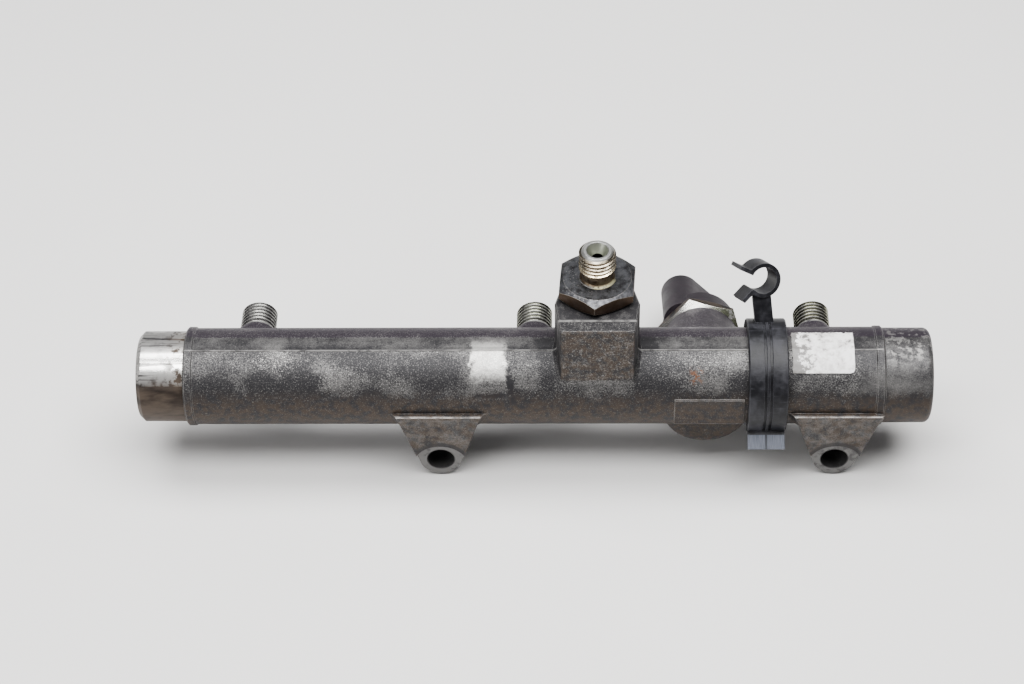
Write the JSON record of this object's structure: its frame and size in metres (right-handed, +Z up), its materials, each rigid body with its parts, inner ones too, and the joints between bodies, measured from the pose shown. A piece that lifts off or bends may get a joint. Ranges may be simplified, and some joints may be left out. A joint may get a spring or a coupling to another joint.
{
  "type": "fuel rail",
  "caption": "Forged steel fuel rail: a tube with threaded outlets, fixing lugs, an inlet block with a union, a pressure sensor and a plastic pipe clip.",
  "frame": {"origin": "midway between the two fixing holes, on the face where the lugs meet the engine", "axes": "+X along the tube towards the lug near the pipe clip, +Y the way the outlets point, into the engine, +Z up, the way the inlet union points"},
  "size_m": [0.261, 0.0807, 0.0838],
  "materials": {
    "forged_steel": "rough forged, dark and oily, with grime",
    "plug_steel": "turned, phosphated",
    "union_steel": "turned, worn yellow zinc plating",
    "washer_steel": "dark, dirty",
    "plated_steel": "bright plated",
    "spring_steel": "ground",
    "board": "green laminate",
    "seal_rubber": "satin",
    "socket_plastic": "satin moulded",
    "contact_brass": "tinned",
    "clip_plastic": "satin moulded",
    "label_paper": "worn white film"
  },
  "bodies": {
    "root": {"rail_body": "forged_steel", "end_plug": "plug_steel", "inlet_union": "union_steel", "inlet_seal_washer": "washer_steel", "sensor_port": "plated_steel", "sensor_diaphragm": "spring_steel", "sensor_board": "board", "sensor_seal_ring": "seal_rubber", "sensor_connector": "socket_plastic", "sensor_pin_1": "contact_brass", "sensor_pin_2": "contact_brass", "sensor_pin_3": "contact_brass", "pipe_clip": "clip_plastic"}
  },
  "joints": []
}
